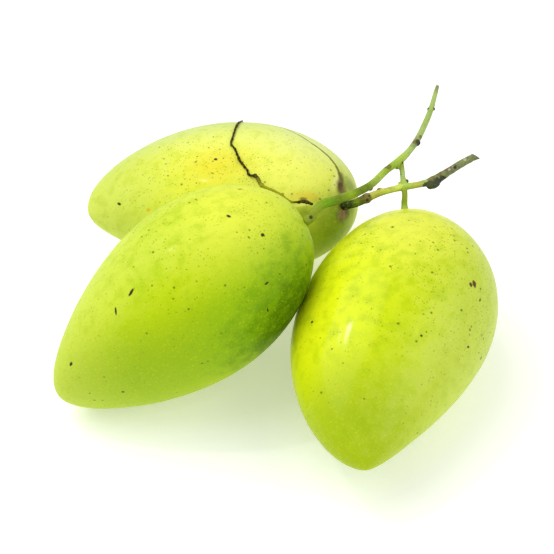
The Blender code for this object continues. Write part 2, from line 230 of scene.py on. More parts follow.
MANGOES = {
    "fruit_left": Mango(
        (-42.6, -28.6), (28.2, 13.0, 102.3), (126.0, 77.2, 67.5),
        -0.014, 0.329, -0.074, -0.004, -0.256, 0.115, (5, 40),
        srgb(200, 224, 14), srgb(186, 215, 10), 0.05, Mark(46, 0, 84, 76, softness=0.9),
        zones=[
            # the left fruit's top: yellow skin with painted sheen
            Mark(50, -5, 60, 56, colour=YELLOW_WITH_PAINTED_SHEEN, strength=0.75, softness=0.8),
            # the left fruit's upper left, towards the tip: paler skin, partly painted sheen
            Mark(116, -25, 70, 34, 0, srgb(212, 228, 84), 0.75, 0.8),
            Mark(160, 30, 60, 70, 0, srgb(204, 222, 76), 0.8, 0.8),
            Mark(84, 54, 84, 30, 0, srgb(166, 200, 6), 0.7, 0.8),
            Mark(108, 78, 76, 40, 0, srgb(148, 184, 20), 0.8, 0.8),
            # painted shade: the left fruit's lower right side, where the right fruit shades it
            Mark(56, 78, 62, 44, 0, GREEN_AND_PAINTED_SHADE, 0.85, 0.8),
            # painted shadow: near black green at the left fruit's contact with the right fruit
            Mark(54, 92, 46, 34, 0, srgb(52, 88, 0), 0.9, 0.9),
        ],
        marks=[
            Mark(106.0, 8.2, 3.6, 1.2, 20), Mark(114.5, 11.5, 3.2, 0.9, 60), Mark(51.5, 20.3, 1.7, 1.6),
            Mark(60.3, -2.2, 1.9, 1.2, -63), Mark(60.5, 50.0, 2.1, 0.9, 2), Mark(64.8, 66.8, 2.1, 0.8, 73),
            Mark(145.0, 18.3, 2.3, 1.2, 7), Mark(128.0, 80.0, 1.4, 1.0, -3),
            Mark(46.5, -31.2, 2.4, 0.8, -6),
        ]),
    "fruit_right": Mango(
        (47.1, -35.8), (75.5, 3.2, 183.8), (136.2, 76.7, 64.0),
        0.233, 0.438, -0.072, 0.066, 0.032, -0.025, (24, -118),
        srgb(204, 224, 0), srgb(192, 215, 0), 0.25, Mark(66, -58, 90, 70, softness=0.9),
        zones=[
            # the right fruit's top: yellow skin with painted sheen
            Mark(56, -100, 52, 50, 0, YELLOW_WITH_PAINTED_SHEEN, 0.75, 0.8),
            # painted light: the right fruit's left side lifted almost to white green, over the shade the
            # left fruit casts
            Mark(96, -144, 76, 40, 0, srgb(244, 255, 22), 0.95, 0.9),
            Mark(148, -88, 44, 54, 0, srgb(158, 184, 16), 0.8, 0.8),
            # the right fruit's right side: paler skin with a painted whitish sheen
            Mark(88, -28, 110, 44, 0, srgb(198, 216, 80), 0.85, 0.65),
        ],
        marks=[
            Mark(76.2, -47.8, 3.4, 2.3, 24, BROWN), Mark(77.6, -50.0, 2.0, 1.8, 24, BROWN),
            Mark(61.8, -108.0, 1.4, 1.0, -84), Mark(80.2, -39.7, 1.6, 0.9, -10, BROWN),
            Mark(104.0, -142.0, 1.4, 1.1, -106), Mark(105.0, -65.8, 1.1, 1.0, -58),
            Mark(97.8, -31.0, 1.4, 1.0, -47, BROWN), Mark(93.8, -10.0, 1.8, 1.1, 3, BROWN),
        ]),
    "fruit_back": Mango(
        (-28.0, 64.7), (7.0, -1.2, 161.3), (129.0, 86.0, 65.1),
        0.269, 0.187, -0.040, 0.046, 0.163, 0.172, (34, -17),
        srgb(238, 240, 60), srgb(230, 236, 58), 0.06, Mark(98, -50, 56, 40, softness=0.9),
        zones=[
            # painted light: the back fruit's middle lifted to near white yellow, brighter than its lamps
            # make it
            Mark(56, -52, 58, 50, 0, srgb(255, 255, 118), 1.0, 0.9),
            Mark(50, -92, 50, 34, 0, srgb(242, 250, 176), 0.8, 0.8),
            # the back fruit's top: paler, bluer skin, partly painted sheen
            Mark(92, -82, 64, 30, 0, srgb(244, 252, 136), 0.6, 0.9),
            Mark(93, -50, 28, 18, 0, srgb(240, 216, 36), 0.6, 0.9),
            Mark(158, -50, 66, 80, 0, srgb(206, 222, 96), 0.85, 0.8),
            Mark(94, -112, 120, 36, 0, srgb(202, 222, 136), 0.85, 0.8),
            Mark(94, 104, 140, 40, 0, srgb(200, 218, 62), 0.7, 0.5),
            Mark(94, 146, 140, 40, 0, srgb(196, 216, 62), 0.8, 0.5),
            Mark(94, 190, 140, 40, 0, srgb(200, 218, 62), 0.7, 0.5),
            Mark(62, 34, 96, 50, 0, srgb(190, 206, 62), 0.9, 0.7),
            # painted shadow: the back fruit's skin under the left fruit's stem end
            Mark(59.0, -14.0, 10, 6, 0, srgb(140, 156, 30), 0.8, 0.8),
            Mark(57.0, -27.5, 12, 5, 0, srgb(232, 196, 44), 0.6, 0.9),
            Mark(26.5, -44.0, 12, 8, 0, srgb(132, 150, 62), 0.8, 0.8),
            # under the back stalk: greener skin with painted shade where the stalk shades it
            Mark(42.0, -2.0, 26, 22, 0, srgb(128, 150, 36), 0.8, 0.8),
            Mark(38.6, -46.0, 12, 3.2, 62, CREAM, 0.45, 0.9),
            Mark(33.8, -50.0, 9, 3.4, 66, SCAR_BROWN, 0.8, 0.7),
            Mark(34.6, -37.5, 8.6, 6.4, 60, LATEX_BROWN, 0.9, 0.6),
            Mark(35.6, -40.0, 5.6, 2.6, 50, srgb(76, 58, 34), 0.8, 0.7),
            # painted shadow: a dark green ring round the back stalk's foot, in the left stalk's shade
            Mark(34.8, -10.2, 12.5, 10, 0, srgb(62, 84, 20), 0.8, 0.7),
            Mark(34.8, -6.5, 8.6, 7.0, 0, srgb(140, 108, 76), 0.95, 0.5),
        ],
        bands=[Band((19.9, 58.6, 63.0), (0.62, 0.57, -0.53), srgb(166, 190, 98), 0.9, 1.2, 50.0)],
        scar=[(61.5, -103.8, 0.8), (55.5, -95.8, 1.0), (49.2, -86.0, 1.2), (44.2, -80.2, 1.6),
              (39.5, -73.5, 1.7), (36.2, -65.0, 1.9), (35.0, -57.5, 2.4), (33.8, -47.8, 3.0)],
        marks=[
            Mark(60.3, -20.9, 8.5, 1.1, 5, srgb(236, 238, 120), 0.8, 0.5),
            Mark(139.8, -23.5, 2.0, 1.3, -22), Mark(124.0, -15.2, 1.9, 1.5, 1, ORANGE_BROWN),
            Mark(93.5, -55.7, 1.7, 1.4, -6), Mark(95.5, -44.5, 1.1, 0.9, -4, BROWN, 0.6),
            Mark(115.0, -65.2, 1.2, 0.9, -22, BROWN, 0.6), Mark(113.8, -46.5, 1.1, 0.9, -10, BROWN, 0.6),
            Mark(59.0, -25.5, 3.6, 1.6, 0, BROWN, 0.7), Mark(41.0, -56.0, 1.1, 1.1, 0, BROWN, 0.6),
            Mark(39.5, -49.7, 1.3, 1.1, 0, BROWN, 0.6), Mark(64.0, -29.2, 1.1, 0.9, 0, BROWN, 0.6),
            Mark(44.5, -33.7, 1.1, 1.1, 0, BROWN, 0.6), Mark(50.3, -25.5, 1.3, 1.0, 0, BROWN, 0.6),
            Mark(40.0, -40.0, 1.0, 0.8, 0, BROWN, 0.5), Mark(31.0, -33.0, 1.2, 0.9, 20, BROWN, 0.6),
            Mark(43.0, -44.0, 0.8, 0.8, 0, BROWN, 0.5), Mark(29.0, -55.0, 1.2, 0.8, 0, BROWN, 0.5),
        ]),
}

# The stalks: x, y, z and diameter in mm, from the fruit outwards
LEFT_STALK = [
    (15.5, -2.6, 77.8, 3.7), (18.1, 0.2, 78.6, 4.0), (22.8, 4.6, 76.8, 4.0), (28.7, 10.6, 74.3, 3.7),
    (34.7, 16.7, 72.0, 3.5), (40.9, 24.1, 70.0, 3.3), (48.9, 37.1, 67.8, 3.2), (55.9, 46.5, 66.2, 3.7),
    (61.0, 54.7, 65.5, 3.0), (65.0, 62.0, 66.0, 3.0), (68.8, 70.7, 67.3, 2.9), (72.8, 81.1, 69.3, 2.7),
    (75.0, 88.5, 71.3, 2.3), (76.9, 94.5, 73.5, 1.8),
]
RIGHT_STALK = [
    (57.0, 29.2, 60.5, 2.5), (56.8, 32.4, 61.8, 3.0), (56.6, 38.4, 63.3, 2.4), (56.3, 43.5, 65.0, 2.4),
    (55.9, 46.5, 66.2, 2.7),
]
BACK_STALK = [
    (35.4, 30.8, 53.6, 3.8), (38.3, 31.5, 54.8, 4.0), (40.3, 31.9, 55.6, 4.8), (42.2, 32.3, 56.4, 3.6),
    (45.3, 32.6, 57.8, 3.3), (51.0, 32.3, 60.2, 2.9), (56.8, 32.4, 61.8, 3.2), (62.6, 32.6, 62.8, 2.8),
    (66.6, 32.8, 63.8, 3.2), (69.7, 33.0, 64.7, 4.6), (72.9, 34.2, 66.1, 4.0), (77.4, 36.1, 68.2, 3.5),
    (83.4, 39.3, 70.3, 3.3), (91.6, 42.5, 73.0, 3.2),
]
# A stalk's thickness just off the fruit and where it meets the fruit, mm
LEFT_SEAT = (3.8, 4.2)
RIGHT_SEAT = (2.8, 3.6)
BACK_SEAT = (3.7, 4.2)
SLANT_CUT = ((88.6, 42.4, 71.9), (0.51, 0.60, 0.62))
# Bract scars, buds and the lumps of the knot: x, y, z, length along the stalk and thickness, mm
BUMPS = [
    (40.7, 22.6, 69.0, 3.0, 2.0), (54.3, 42.4, 65.4, 3.0, 2.4), (64.9, 60.0, 65.5, 3.8, 2.8),
    (71.7, 81.1, 69.5, 2.0, 1.5), (74.1, 81.3, 69.3, 2.0, 1.5), (58.2, 35.4, 62.6, 2.4, 1.8),
    (55.0, 34.2, 62.1, 2.2, 1.8), (46.0, 33.6, 59.2, 3.0, 1.9), (40.8, 31.0, 54.7, 2.2, 2.2),
    (39.6, 32.8, 56.2, 2.4, 2.0), (69.8, 31.4, 64.1, 6.6, 4.0),
]
# Where the stalk is dark, brown or pale: x, y, z and radius in mm
DARK_SPOTS = [
    (66.8, 31.2, 63.6, 2.2), (69.0, 30.6, 63.9, 3.2), (71.4, 31.9, 64.9, 3.0), (73.6, 33.2, 66.0, 2.4),
    (79.4, 36.0, 70.6, 1.1), (64.8, 59.6, 66.0, 1.9), (40.9, 22.6, 68.8, 1.2), (58.5, 35.2, 62.9, 1.1),
    (56.7, 44.1, 66.4, 0.8), (55.7, 38.2, 64.6, 0.6), (71.6, 81.0, 69.8, 0.8), (74.3, 81.2, 69.6, 0.9),
    (76.9, 94.8, 73.8, 1.3), (13.6, -5.4, 76.6, 1.0), (38.5, 31.6, 57.4, 0.7), (41.2, 31.0, 57.8, 0.7),
    (40.3, 30.0, 56.2, 0.9),
]
BROWN_SPOTS = [
    (40.3, 31.4, 56.2, 2.8), (48.8, 38.3, 69.2, 2.8), (68.6, 33.0, 66.2, 2.2), (45.6, 33.6, 59.8, 1.1),
    (72.0, 34.4, 68.0, 1.6), (75.6, 35.8, 69.4, 1.5), (63.6, 58.6, 66.6, 1.6), (66.6, 62.6, 66.8, 1.4),
]
PALE_SPOTS = [
    (76.7, 35.1, 70.0, 1.0), (78.5, 36.5, 70.9, 0.9), (84.0, 39.2, 72.2, 1.0), (64.6, 60.2, 67.0, 0.5),
]

# The bark's colours, and where along each stalk they come: the number of the route's point, with
# the three points of the seat counted first, and the colour there. The back stalk's foot is painted
# shadow, and its middle stretch is brightened as painted light
# Painted shadow: the back stalk's foot, under the left stalk, takes these two darkest olives
SHADED_OLIVE = srgb(38, 48, 12)
PAINTED_SHADOW_OLIVE = srgb(54, 68, 18)
OLIVE = srgb(108, 130, 26)
LIGHT_OLIVE = srgb(146, 162, 46)
GREEN_BARK = srgb(114, 164, 8)
SPRING_GREEN = srgb(148, 178, 38)
SOFT_GREEN = srgb(176, 204, 82)
LEAF_GREEN = srgb(160, 186, 98)
PALE_BARK = srgb(174, 196, 114)
NODE_GREY = srgb(126, 138, 86)
STRAW = srgb(198, 196, 86)
# Painted light: straw bark brightened for the back stalk's middle stretch, which lies in the left stalk's
# shade
STRAW_WITH_PAINTED_LIGHT = srgb(232, 240, 112)
KNOT_OLIVE = srgb(98, 98, 30)
LEFT_SHADES = [
    (0, LIGHT_OLIVE), (3, LIGHT_OLIVE), (4.4, GREEN_BARK), (5.4, OLIVE), (6.3, SPRING_GREEN),
    (7, OLIVE), (7.6, OLIVE), (8.4, SOFT_GREEN), (9, SPRING_GREEN), (10, SOFT_GREEN),
    (11, PALE_BARK), (11.6, NODE_GREY), (12.4, PALE_BARK), (13.6, LEAF_GREEN), (15, PALE_BARK),
    (16, NODE_GREY),
]
RIGHT_SHADES = [
    (0, SOFT_GREEN), (3.3, LIGHT_OLIVE), (4, SOFT_GREEN), (5, PALE_BARK), (6, LIGHT_OLIVE),
    (7, SOFT_GREEN),
]
BACK_SHADES = [
    # the foot, at 0 and 2.4, is painted shadow; at 7.8 and 8.6 the straw is brightened as painted light
    (0, SHADED_OLIVE), (2.4, PAINTED_SHADOW_OLIVE), (3.2, OLIVE), (4, KNOT_OLIVE), (5, LIGHT_OLIVE),
    (6, STRAW), (7, STRAW), (7.8, STRAW_WITH_PAINTED_LIGHT), (8.6, STRAW_WITH_PAINTED_LIGHT), (9.2, SOFT_GREEN),
    (10, STRAW), (11, PALE_BARK), (13, LEAF_GREEN), (14, NODE_GREY), (15, LEAF_GREEN),
    (16, NODE_GREY),
]
BARK_PALE = srgb(208, 222, 112)
BARK_BROWN = srgb(118, 100, 58)
BARK_CREAM = srgb(196, 184, 160)
BARK_DARK = srgb(56, 56, 48)
WOOD_GREY = srgb(126, 128, 92)
WOOD_DARK = srgb(84, 78, 62)
WOOD_PALE = srgb(156, 154, 126)
CUT_TAN = srgb(146, 138, 108)
CUT_BROWN = srgb(104, 96, 74)
CUT_PALE = srgb(176, 168, 136)
SHOOT_OLIVE = srgb(74, 68, 14)
SHOOT_DARK = srgb(30, 27, 5)
SHOOT_TAN = srgb(124, 114, 40)
SHOOT_GREEN = srgb(168, 166, 28)
SHOOT_TIP = srgb(150, 138, 104)

# The dry shoot, as free points and then as places on the back fruit's skin
SHOOT_START = [
    (14.2, -0.2, 79.4, 1.3), (10.8, 4.4, 77.0, 1.9), (7.9, 7.0, 74.5, 1.1), (4.9, 9.7, 72.5, 1.1),
    (1.0, 14.6, 72.0, 1.1), (-2.4, 18.5, 71.2, 1.1), (-7.3, 23.2, 70.2, 1.2), (-10.1, 30.1, 69.7, 1.5),
]
SHOOT_ON_SKIN = [
    (81.0, -42.2, 1.2), (82.0, -47.0, 1.1), (84.0, -52.5, 1.5), (85.0, -60.2, 1.2), (86.5, -68.5, 1.2),
    (84.5, -80.5, 1.1), (82.8, -91.5, 1.3), (79.5, -108.0, 0.9),
]


def turn_matrix(mango):
    """Takes the fruit's own axes (x across its width, z from tip to stem) to the world's."""
    yaw, pitch, roll = (math.radians(angle) for angle in mango.turn)
    lay_down = Matrix(((0, 0, 1), (1, 0, 0), (0, 1, 0)))
    return (Matrix.Rotation(yaw, 3, "Z") @ Matrix.Rotation(-pitch, 3, "Y") @ lay_down
            @ Matrix.Rotation(roll, 3, "Z"))


def plain_skin(mango, s, phi):
    """The skin without its cavity in the fruit's own axes, for arrays of s and phi, in mm."""
    length, width, thickness = mango.size
    along = np.cos(s)
    ring = np.sin(s)
    fullness = mango.blunt * (2 * along * along - 1)
    half_width = width / 2 * ring * (1 + mango.stem_wide * along + fullness)
    half_thickness = thickness / 2 * ring * (1 + mango.stem_deep * along + fullness)
    shift = (mango.s_bend * 2 * ring * along + mango.tip_shift * (1 - along) ** 2 / 4
             + mango.stem_shift * (1 + along) ** 2 / 4)
    return np.stack([width * shift + half_width * np.cos(phi), half_thickness * np.sin(phi),
                     length / 2 * along + 0 * phi], axis=-1)


def skin_frame(mango, s, phi):
    """Unit vectors on the skin: towards the stem, across, and outwards."""
    step = 0.01
    s = np.clip(s, step, math.pi - step)
    to_stem = plain_skin(mango, s - step, phi) - plain_skin(mango, s + step, phi)
    around = plain_skin(mango, s, phi + step) - plain_skin(mango, s, phi - step)
    outward = np.cross(around, to_stem)
    outward /= np.linalg.norm(outward, axis=-1, keepdims=True)
    to_stem /= np.linalg.norm(to_stem, axis=-1, keepdims=True)
    return to_stem, np.cross(outward, to_stem), outward


def lift_of(mango):
    """How far the fruit's middle stands above the floor once its lowest skin is pressed flat."""
    steps = 180
    s, phi = np.meshgrid(np.pi * np.arange(steps + 1) / steps, 2 * np.pi * np.arange(steps) / steps)
    heights = plain_skin(mango, s, phi) @ np.array(turn_matrix(mango))[2]
    return -heights.min() - FLAT_SPOT_DEPTH


def place_matrix(mango):
    """The fruit's own axes in metres to the world."""
    place = Vector((*mango.middle, lift_of(mango))) * MM
    return Matrix.Translation(place) @ turn_matrix(mango).to_4x4()


def skin_spot(mango, s_degrees, phi_degrees):
    """A place on the skin in the fruit's own axes, with its unit vectors, in mm."""
    s, phi = np.radians(s_degrees), np.radians(phi_degrees)
    return plain_skin(mango, s, phi), skin_frame(mango, s, phi)


def new_piece(name, mesh, node):
    piece = bpy.data.objects.new(name, mesh)
    bpy.context.scene.collection.objects.link(piece)
    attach(piece, "root")
    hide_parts(node)
    return piece


def get_points(mesh):
    points = np.empty(len(mesh.vertices) * 3, np.float32)
    mesh.vertices.foreach_get("co", points)
    return points.reshape(-1, 3).astype(float)


def set_points(mesh, points):
    mesh.vertices.foreach_set("co", points.astype(np.float32).ravel())
    mesh.update()


def waves(points, length, seed):
    """Smooth noise from -1 to 1 at each point; points and length are in mm."""
    offset = Vector((seed * 17.3, seed * 5.1, seed * 9.7))
    return np.array([noise.noise(Vector(point) / length + offset) for point in points])


def smooth_step(value, low, high):
    share = np.clip((value - low) / (high - low), 0, 1)
    return share * share * (3 - 2 * share)


# Node helpers

def set_socket(tree, socket, value):
    """Links a socket to a value that is a socket itself, and sets it to any other value."""
    if isinstance(value, bpy.types.NodeSocket):
        tree.links.new(value, socket)
    else:
        socket.default_value = value


def add_node(tree, kind, values=None, **settings):
    """A node with its settings made and its sockets set or linked."""
    made = tree.nodes.new(kind)
    for key, value in settings.items():
        setattr(made, key, value)
    for key, value in (values or {}).items():
        set_socket(tree, made.inputs[key], value)
    return made


def maths(tree, operation, first, second=0.0):
    return add_node(tree, "ShaderNodeMath", {0: first, 1: second}, operation=operation).outputs[0]


def ramp(tree, value, start, end):
    """0 at start and 1 at end, smoothly."""
    values = {"Value": value, "From Min": start, "From Max": end}
    return add_node(tree, "ShaderNodeMapRange", values, interpolation_type="SMOOTHSTEP").outputs[0]


def mix(tree, share, first, second):
    values = {0: share, 6: first, 7: second}
    return add_node(tree, "ShaderNodeMix", values, data_type="RGBA").outputs[2]


def layer(tree, colour, share, amount, over):
    """The colour with another laid over it: by amount where share is 1, and not where it is 0."""
    return mix(tree, maths(tree, "MULTIPLY", share, amount), colour, over)


def noise_value(tree, vector, scale, detail, roughness=0.5):
    values = {"Vector": vector, "Scale": scale, "Detail": detail, "Roughness": roughness}
    return add_node(tree, "ShaderNodeTexNoise", values).outputs[0]


def millimetres(tree):
    """The piece's own coordinates in millimetres."""
    coordinates = add_node(tree, "ShaderNodeTexCoord").outputs["Object"]
    values = {0: coordinates, "Scale": 1 / MM}
    return add_node(tree, "ShaderNodeVectorMath", values, operation="SCALE").outputs[0]


def own_axes(tree, world, mango):
    """A point of the skin in the fruit's own axes, in mm."""
    place = place_matrix(mango)
    values = {"Vector": world, "Location": place.translation / MM,
              "Rotation": place.to_euler("XYZ"), "Scale": (1, 1, 1)}
    return add_node(tree, "ShaderNodeMapping", values, vector_type="TEXTURE").outputs[0]


def new_material(name):
    material = bpy.data.materials.new(name)
    material.use_nodes = True
    return material, material.node_tree, material.node_tree.nodes["Principled BSDF"]


def dress(tree, shader, colour, rough, specular, height, strength, depth):
    """Gives a shader its colour, roughness, specular level and relief; depth is in mm."""
    values = {"Height": height, "Strength": strength, "Distance": depth * MM}
    bump = add_node(tree, "ShaderNodeBump", values)
    set_socket(tree, shader.inputs["Base Color"], colour)
    set_socket(tree, shader.inputs["Normal"], bump.outputs[0])
    set_socket(tree, shader.inputs["Roughness"], rough)
    set_socket(tree, shader.inputs["Specular IOR Level"], specular)


def mark_share(tree, point, mango, mark, wobble):
    """The mark's strength inside it and 0 outside it, with an uneven edge."""
    spot, (to_stem, across, outward) = skin_spot(mango, mark.s, mark.phi)
    tilt = math.radians(mark.tilt)
    along = math.cos(tilt) * to_stem + math.sin(tilt) * across
    side = np.cross(outward, along)
    axes = Matrix([along, side, outward]).transposed()
    deep = max(mark.width, LEAST_MARK_DEPTH)
    values = {"Vector": point, "Location": tuple(spot), "Rotation": tuple(axes.to_euler("XYZ")),
              "Scale": (mark.length / 2, mark.width / 2, deep)}
    local = add_node(tree, "ShaderNodeMapping", values, vector_type="TEXTURE").outputs[0]
    reach = add_node(tree, "ShaderNodeVectorMath", {0: local}, operation="LENGTH").outputs["Value"]
    uneven = maths(tree, "ADD", reach, wobble)
    share = ramp(tree, uneven, 1 + mark.softness, 1 - mark.softness)
    return maths(tree, "MULTIPLY", share, mark.strength)


def dots(tree, point, kind, crowd=1.0):
    """1 in a dot and 0 outside it; crowd scales how many cells have one."""
    offset = (kind.seed, kind.seed * 2.3, kind.seed * 3.1)
    shifted = add_node(tree, "ShaderNodeVectorMath", {0: point, 1: offset}, operation="ADD").outputs[0]
    cells = add_node(tree, "ShaderNodeTexVoronoi", {"Vector": shifted, "Scale": 1 / kind.spacing})
    chosen = add_node(tree, "ShaderNodeSeparateColor", {0: cells.outputs["Color"]})
    radius = kind.radius / kind.spacing
    reach = maths(tree, "ADD", maths(tree, "MULTIPLY", chosen.outputs[1], radius * 0.8), radius * 0.5)
    share = ramp(tree, maths(tree, "DIVIDE", cells.outputs["Distance"], reach), 1.35, 0.5)
    chance = maths(tree, "MULTIPLY", crowd, kind.chance)
    return maths(tree, "MULTIPLY", share, maths(tree, "LESS_THAN", chosen.outputs[0], chance))


def band_share(tree, world, band, wobble):
    """0 behind the band's plane, and its strength in front of it and near its point."""
    values = {0: world, 1: band.point}
    offset = add_node(tree, "ShaderNodeVectorMath", values, operation="SUBTRACT").outputs[0]
    values = {0: offset, 1: tuple(Vector(band.facing).normalized())}
    height = add_node(tree, "ShaderNodeVectorMath", values, operation="DOT_PRODUCT").outputs["Value"]
    uneven = maths(tree, "ADD", height, maths(tree, "MULTIPLY", wobble, band.softness))
    away = add_node(tree, "ShaderNodeVectorMath", {0: offset}, operation="LENGTH").outputs["Value"]
    nearby = maths(tree, "MULTIPLY", ramp(tree, away, band.reach, band.reach * 0.4), band.strength)
    return maths(tree, "MULTIPLY", ramp(tree, uneven, 0.0, band.softness), nearby)


def scar_marks(mango):
    """The scar's line as a chain of long thin marks."""
    chain = []
    for (s1, phi1, width1), (s2, phi2, width2) in zip(mango.scar, mango.scar[1:]):
        way = skin_spot(mango, s2, phi2)[0] - skin_spot(mango, s1, phi1)[0]
        s, phi = (s1 + s2) / 2, (phi1 + phi2) / 2
        _, (to_stem, across, _) = skin_spot(mango, s, phi)
        tilt = math.degrees(math.atan2(way @ across, way @ to_stem))
        length = float(np.linalg.norm(way)) * SCAR_OVERLAP
        width = (width1 + width2) / 2
        chain.append(Mark(s, phi, length, width, tilt, SCAR_BROWN, SCAR_STRENGTH, SCAR_SOFTNESS))
    return chain


def skin_material(name, mango):
    material, tree, shader = new_material(name)
    world = millimetres(tree)
    point = own_axes(tree, world, mango)
    broad = noise_value(tree, point, 1 / PATCH_LENGTH, 2.0)
    middle = noise_value(tree, point, 1 / MOTTLE_LENGTH, 3.0)
    fine = noise_value(tree, point, 1.1, 3.0)
    wobble = maths(tree, "MULTIPLY", maths(tree, "SUBTRACT", middle, 0.5), UNEVEN_EDGE)
    jagged = maths(tree, "MULTIPLY", maths(tree, "SUBTRACT", fine, 0.5), UNEVEN_EDGE)

    colour = mix(tree, ramp(tree, broad, 0.35, 0.65), mango.colour, mango.second_colour)
    for band in mango.bands:
        colour = mix(tree, band_share(tree, world, band, wobble), colour, band.colour)
    # zones: broad changes of the skin's colour, among them painted shade, painted shadows, painted light
    # and painted sheen, noted where each fruit lists them
    for zone in mango.zones:
        colour = mix(tree, mark_share(tree, point, mango, zone, wobble), colour, zone.colour)
    colour = layer(tree, colour, ramp(tree, middle, 0.42, 0.75), MOTTLE_SHARE, MOTTLE_GREEN)
    colour = layer(tree, colour, ramp(tree, fine, 0.5, 0.8), GRAIN_SHARE, GRAIN_PALE)

    patchy = ramp(tree, noise_value(tree, point, 1 / SPECK_PATCH_LENGTH, 1.0), 0.34, 0.62)
    crowd = mark_share(tree, point, mango, mango.speck_zone, wobble)
    crowd = maths(tree, "MULTIPLY", maths(tree, "ADD", crowd, SPECKS_ELSEWHERE), patchy)
    pale = dots(tree, point, PALE_DOTS)
    green = dots(tree, point, GREEN_DOTS)
    small = dots(tree, point, FINE_SPECKS, crowd)
    large = dots(tree, point, COARSE_SPECKS, crowd)
    for share, kind in ((pale, PALE_DOTS), (green, GREEN_DOTS),
                        (small, FINE_SPECKS), (large, COARSE_SPECKS)):
        colour = layer(tree, colour, share, kind.share, kind.colour)

    marked = 0.0
    for mark in scar_marks(mango) + mango.marks:
        share = mark_share(tree, point, mango, mark, jagged)
        colour = mix(tree, share, colour, mark.colour)
        marked = maths(tree, "MAXIMUM", share, marked)

    rough = maths(tree, "ADD", maths(tree, "MULTIPLY", fine, 0.12), SKIN_ROUGHNESS)
    rough = maths(tree, "ADD", rough, maths(tree, "MULTIPLY", marked, 0.3))
    height = maths(tree, "MULTIPLY", noise_value(tree, point, 0.8, 3.0), 0.55)
    height = maths(tree, "ADD", height, maths(tree, "MULTIPLY", pale, 0.3))
    height = maths(tree, "SUBTRACT", height, maths(tree, "MULTIPLY", small, 0.4))
    height = maths(tree, "SUBTRACT", height, maths(tree, "MULTIPLY", marked, 0.9))
    dress(tree, shader, colour, rough, SKIN_SPECULAR, height, BUMP_STRENGTH, BUMP_DEPTH)
    shader.inputs["Coat Weight"].default_value = mango.coat
    shader.inputs["Coat Roughness"].default_value = COAT_ROUGHNESS
    return material


def build_skin(name, mango):
    """A fine sphere whose rings are moved onto the fruit's skin, pressed flat where it rests."""
    mesh = bpy.data.meshes.new(name + "_skin")
    bm = bmesh.new()
    bmesh.ops.create_uvsphere(bm, u_segments=FRUIT_SEGMENTS, v_segments=FRUIT_RINGS, radius=1)
    bm.to_mesh(mesh)
    bm.free()
    ball = get_points(mesh)
    angle = np.arccos(np.clip(ball[:, 2], -1, 1))
    s = angle - RING_CROWDING * np.sin(angle)
    phi = np.arctan2(ball[:, 1], ball[:, 0])
    points = plain_skin(mango, s, phi)
    outward = skin_frame(mango, s, phi)[2]
    points += outward * (SKIN_WAVES * waves(points, SKIN_WAVE_LENGTH, mango.turn[0]))[:, None]

    stem, (to_stem, across, stem_out) = skin_spot(mango, *mango.stem_at)
    away = points - stem
    distance = np.linalg.norm(away, axis=1)
    dip = CAVITY_DEPTH * np.exp(-(distance / CAVITY_RADIUS) ** 2)
    turn = np.arctan2(away @ across, away @ to_stem)
    folds = FOLD_DEPTH * np.exp(-((distance - FOLD_FROM_STEM) / FOLD_BREADTH) ** 2)
    folds = folds * np.cos(CAVITY_FOLDS * turn + 1.3)
    points -= (dip + folds)[:, None] * stem_out

    place = place_matrix(mango)
    world = points * MM @ np.array(place.to_3x3()).T + np.array(place.translation)
    world[:, 2] = np.maximum(world[:, 2], 0)
    set_points(mesh, world)
    mesh.shade_smooth()
    mesh.materials.append(skin_material(name + "_skin", mango))
    return new_piece(name + "_skin", mesh, name)


# Stalks

def smooth_route(route, steps):
    """Points on the same smooth curve as the solid's, each with its place and diameter."""
    curve = bpy.data.curves.new("route", "CURVE")
    curve.dimensions = "3D"
    spline = curve.splines.new("BEZIER")
    spline.bezier_points.add(len(route) - 1)
    for point, (x, y, z, diameter) in zip(spline.bezier_points, route):
        point.co = (x, y, z)
        point.radius = diameter / 2
        point.handle_left_type = "AUTO"
        point.handle_right_type = "AUTO"
    guide = bpy.data.objects.new("route", curve)
    bpy.context.scene.collection.objects.link(guide)
    bpy.context.view_layer.update()
    knots = spline.bezier_points
    samples = []
    for before, after in zip(knots, list(knots)[1:]):
        for step in range(steps):
            t = step / steps
            place = ((1 - t) ** 3 * before.co + 3 * (1 - t) ** 2 * t * before.handle_right
                     + 3 * (1 - t) * t * t * after.handle_left + t ** 3 * after.co)
            ease = t * t * (3 - 2 * t)
            samples.append((*place, 2 * (before.radius * (1 - ease) + after.radius * ease)))
    samples.append((*knots[-1].co, 2 * knots[-1].radius))
    bpy.data.objects.remove(guide, do_unlink=True)
    bpy.data.curves.remove(curve)
    return np.array(samples)


def directions(samples):
    ahead = np.gradient(samples[:, :3], axis=0)
    return ahead / np.linalg.norm(ahead, axis=1, keepdims=True)


def tube_into(bm, samples, sides):
    """Adds a closed round tube along the samples, in mm."""
    forward = directions(samples)
    side = Vector(forward[0]).orthogonal().normalized()
    rings = []
    for (x, y, z, diameter), ahead in zip(samples, forward):
        ahead = Vector(ahead)
        side = (side - ahead * side.dot(ahead)).normalized()
        up = ahead.cross(side)
        ring = []
        for k in range(sides):
            angle = 2 * math.pi * k / sides
            offset = (side * math.cos(angle) + up * math.sin(angle)) * diameter / 2
            ring.append(bm.verts.new(Vector((x, y, z)) + offset))
        rings.append(ring)
    for low, high in zip(rings, rings[1:]):
        for k in range(sides):
            bm.faces.new((low[k], low[(k + 1) % sides], high[(k + 1) % sides], high[k]))
    bm.faces.new(list(reversed(rings[0])))
    bm.faces.new(rings[-1])


